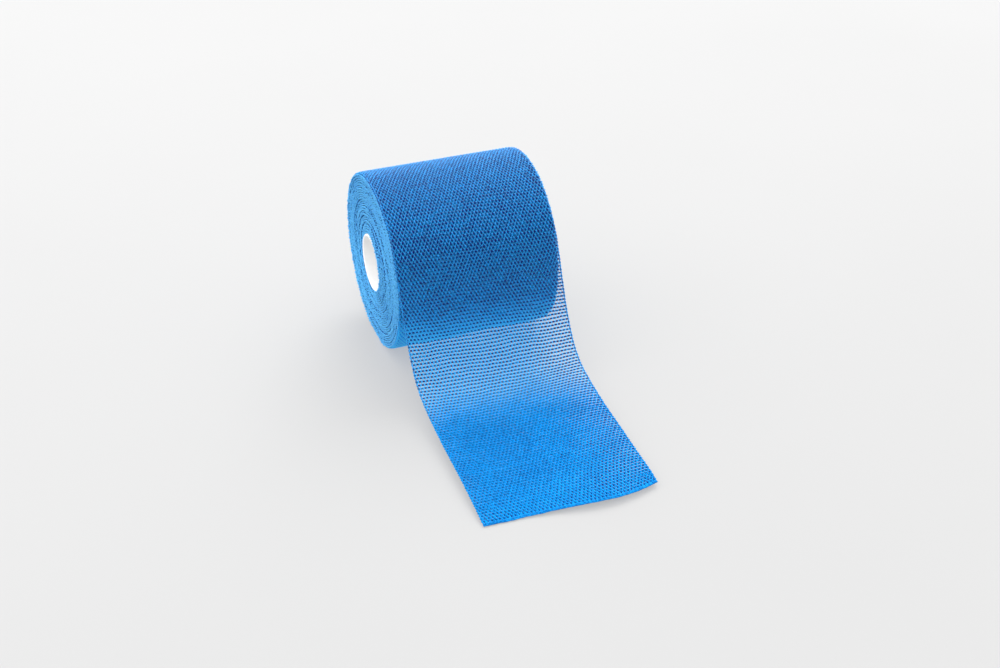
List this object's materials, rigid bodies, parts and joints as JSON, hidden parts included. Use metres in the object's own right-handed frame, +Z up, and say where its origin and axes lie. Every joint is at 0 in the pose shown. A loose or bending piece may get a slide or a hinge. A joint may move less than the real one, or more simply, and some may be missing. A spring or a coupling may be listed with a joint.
{
  "type": "cohesive bandage roll",
  "caption": "Roll of knitted bandage tape wound on a plain tube, resting on its rim side, with a loose end that comes down in front and lies on the floor.",
  "frame": {"origin": "middle of the small flat spot that the roll rests on, on the floor", "axes": "+X along the roll's axis, from the end that shows the core to the other end; -Y from the roll towards the cut end of the tape; +Z up"},
  "size_m": [0.077, 0.1911, 0.0808],
  "materials": {
    "knitted_tape": "matte open knit, bright blue",
    "white_core": "smooth satin white plastic"
  },
  "bodies": {
    "root": {"wound_roll": "knitted_tape", "loose_end": "knitted_tape", "core_tube": "white_core"}
  },
  "joints": []
}
